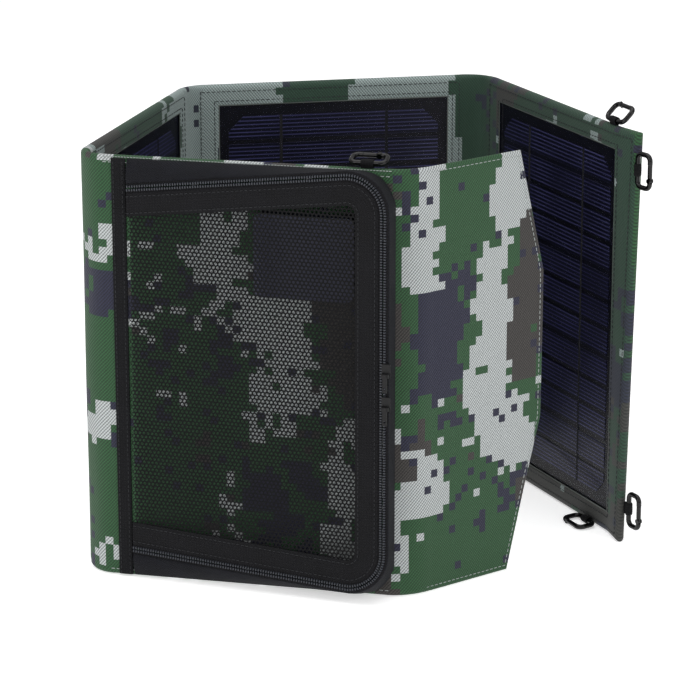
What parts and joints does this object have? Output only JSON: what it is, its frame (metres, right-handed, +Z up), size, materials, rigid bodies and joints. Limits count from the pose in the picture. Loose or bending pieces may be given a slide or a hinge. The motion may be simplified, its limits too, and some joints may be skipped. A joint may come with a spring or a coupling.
{
  "type": "folding solar charger",
  "caption": "Folding solar charger in camouflage fabric, with hinged cell panels, a mesh pocket, a USB controller, a closing flap and carabiners.",
  "frame": {"origin": "middle of the front panel's bottom edge, on the surface that the panels stand on", "axes": "+X along the front panel from its fold to the closing flap, +Y from the front panel's pocket side towards its inner side, +Z up"},
  "size_m": [0.2948, 0.2761, 0.2464],
  "materials": {
    "camo_fabric": "matt printed polyester canvas",
    "inner_fabric": "matt woven polyester",
    "stiffener": "matt",
    "backsheet": "matt",
    "solar_cell": "smooth dark blue silicon",
    "laminate_film": "satin clear film",
    "copper": "tinned copper strip",
    "hook_and_loop": "matt",
    "webbing": "matt woven nylon",
    "mesh": "matt knitted mesh",
    "zip_coil": "satin nylon coil",
    "zip_metal": "satin black",
    "controller_case": "satin black",
    "circuit_board": "solder resist",
    "socket_metal": "nickel plated",
    "carabiner_metal": "gloss black"
  },
  "bodies": {
    "panel_a": {"cover_a": "camo_fabric", "board_a": "stiffener", "lining_a": "inner_fabric", "bus_lead_a": "copper", "fold_ab": "inner_fabric", "fold_flap": "inner_fabric", "pocket_gusset": "webbing", "zip_gusset_half": "zip_coil", "controller_base": "controller_case", "controller_lid": "controller_case", "controller_board": "circuit_board", "usb_sockets": "socket_metal", "loops_a": "webbing"},
    "panel_b": {"cover_b": "camo_fabric", "board_b": "stiffener", "backsheet_b": "backsheet", "cells_b": "solar_cell", "film_b": "laminate_film", "window_b": "camo_fabric", "bus_lead_b": "copper", "fold_bc": "inner_fabric"},
    "panel_c": {"cover_c": "camo_fabric", "board_c": "stiffener", "backsheet_c": "backsheet", "cells_c": "solar_cell", "film_c": "laminate_film", "window_c": "camo_fabric", "bus_lead_c": "copper", "fold_cd": "inner_fabric"},
    "panel_d": {"cover_d": "camo_fabric", "board_d": "stiffener", "backsheet_d": "backsheet", "cells_d": "solar_cell", "film_d": "laminate_film", "window_d": "camo_fabric", "bus_lead_d": "copper", "loop_tape": "hook_and_loop", "loops_d": "webbing"},
    "flap": {"flap_cover": "camo_fabric", "flap_lining": "inner_fabric", "hook_tape": "hook_and_loop"},
    "pocket_cover": {"pocket_border": "webbing", "pocket_mesh": "mesh", "zip_cover_half": "zip_coil"},
    "slider_upper": {"slider_upper": "zip_metal"},
    "slider_lower": {"slider_lower": "zip_metal"},
    "pull_upper": {"pull_upper": "zip_metal"},
    "pull_lower": {"pull_lower": "zip_metal"},
    "carabiner_a_top": {"hook_a_top": "carabiner_metal"},
    "gate_a_top": {"gate_a_top": "carabiner_metal"},
    "carabiner_a_bottom": {"hook_a_bottom": "carabiner_metal"},
    "gate_a_bottom": {"gate_a_bottom": "carabiner_metal"},
    "carabiner_d_top": {"hook_d_top": "carabiner_metal"},
    "gate_d_top": {"gate_d_top": "carabiner_metal"},
    "carabiner_d_upper": {"hook_d_upper": "carabiner_metal"},
    "gate_d_upper": {"gate_d_upper": "carabiner_metal"},
    "carabiner_d_lower": {"hook_d_lower": "carabiner_metal"},
    "gate_d_lower": {"gate_d_lower": "carabiner_metal"},
    "carabiner_d_bottom": {"hook_d_bottom": "carabiner_metal"},
    "gate_d_bottom": {"gate_d_bottom": "carabiner_metal"}
  },
  "joints": [
    {"name": "fold_ab", "type": "hinge", "parent": "panel_a", "child": "panel_b", "pos_m": [-0.089, 0.003, 0], "axis": [0, 0, -1], "range_deg": [-92.8, 42]},
    {"name": "fold_bc", "type": "hinge", "parent": "panel_b", "child": "panel_c", "pos_m": [-0.0863, 0.18108, 0], "axis": [0, 0, 1], "range_deg": [-8, 228]},
    {"name": "fold_cd", "type": "hinge", "parent": "panel_c", "child": "panel_d", "pos_m": [0.07852, 0.24857, 0], "axis": [0, 0, -1], "range_deg": [-76, 85]},
    {"name": "fold_flap", "type": "hinge", "parent": "panel_a", "child": "flap", "pos_m": [0.089, 0.003, 0], "axis": [0, 0, 1], "range_deg": [-70, 60]},
    {"name": "pocket_hinge", "type": "hinge", "parent": "panel_a", "child": "pocket_cover", "pos_m": [-0.06462, -0.00619, 0.1175], "axis": [0, 0, -1], "range_deg": [0, 120]},
    {"name": "slider_upper_slide", "type": "slide", "parent": "panel_a", "child": "slider_upper", "axis": [0, 0, 1], "range_m": [0, 0.07]},
    {"name": "slider_lower_slide", "type": "slide", "parent": "panel_a", "child": "slider_lower", "axis": [0, 0, 1], "range_m": [-0.08, 0]},
    {"name": "pull_upper_swing", "type": "hinge", "parent": "slider_upper", "child": "pull_upper", "pos_m": [0.07963, -0.02328, 0.13], "axis": [-0.9949, 0.1012, 0], "range_deg": [0, 140]},
    {"name": "pull_lower_swing", "type": "hinge", "parent": "slider_lower", "child": "pull_lower", "pos_m": [0.07963, -0.02328, 0.112], "axis": [-0.9949, 0.1012, 0], "range_deg": [0, 140]},
    {"name": "carabiner_a_top_swing", "type": "hinge", "parent": "panel_a", "child": "carabiner_a_top", "pos_m": [0.065, 0, 0.23745], "axis": [1, 0, 0], "range_deg": [-20, 150]},
    {"name": "gate_a_top", "type": "hinge", "parent": "carabiner_a_top", "child": "gate_a_top", "pos_m": [0.0695, 0.00959, 0.23949], "axis": [0, -0.2079, 0.9781], "range_deg": [0, 28], "stiffness_Nm_per_rad": 0.001, "springref_deg": -17.19},
    {"name": "carabiner_a_bottom_swing", "type": "hinge", "parent": "panel_a", "child": "carabiner_a_bottom", "pos_m": [0.065, 0.00545, 0.00225], "axis": [-1, 0, 0], "range_deg": [0, 90]},
    {"name": "gate_a_bottom", "type": "hinge", "parent": "carabiner_a_bottom", "child": "gate_a_bottom", "pos_m": [0.0695, 0.01522, 0.0015], "axis": [0, 0.0765, 0.9971], "range_deg": [0, 28], "stiffness_Nm_per_rad": 0.001, "springref_deg": -17.19},
    {"name": "carabiner_d_top_swing", "type": "hinge", "parent": "panel_d", "child": "carabiner_d_top", "pos_m": [0.17426, 0.13176, 0.23745], "axis": [-0.6184, 0.7859, 0], "range_deg": [-130, 40]},
    {"name": "gate_d_top", "type": "hinge", "parent": "carabiner_d_top", "child": "gate_d_top", "pos_m": [0.17692, 0.13959, 0.24438], "axis": [0.5557, 0.4373, -0.7071], "range_deg": [0, 28], "stiffness_Nm_per_rad": 0.001, "springref_deg": -17.19},
    {"name": "carabiner_d_upper_swing", "type": "hinge", "parent": "panel_d", "child": "carabiner_d_upper", "pos_m": [0.19061, 0.11098, 0.215], "axis": [0, 0, 1], "range_deg": [-95, 75]},
    {"name": "gate_d_upper", "type": "hinge", "parent": "carabiner_d_upper", "child": "gate_d_upper", "pos_m": [0.19814, 0.10471, 0.2105], "axis": [-0.6401, -0.7683, 0], "range_deg": [0, 28], "stiffness_Nm_per_rad": 0.001, "springref_deg": -17.19},
    {"name": "carabiner_d_lower_swing", "type": "hinge", "parent": "panel_d", "child": "carabiner_d_lower", "pos_m": [0.19061, 0.11098, 0.02], "axis": [0, 0, 1], "range_deg": [-85, 85]},
    {"name": "gate_d_lower", "type": "hinge", "parent": "carabiner_d_lower", "child": "gate_d_lower", "pos_m": [0.1972, 0.10372, 0.0155], "axis": [-0.7408, -0.6717, 0], "range_deg": [0, 28], "stiffness_Nm_per_rad": 0.001, "springref_deg": -17.19},
    {"name": "carabiner_d_bottom_swing", "type": "hinge", "parent": "panel_d", "child": "carabiner_d_bottom", "pos_m": [0.16255, 0.13783, 0.00225], "axis": [0.6184, -0.7859, 0], "range_deg": [0, 90]},
    {"name": "gate_d_bottom", "type": "hinge", "parent": "carabiner_d_bottom", "child": "gate_d_bottom", "pos_m": [0.15209, 0.13532, 0.0015], "axis": [-0.0601, -0.0473, 0.9971], "range_deg": [0, 28], "stiffness_Nm_per_rad": 0.001, "springref_deg": -17.19}
  ]
}
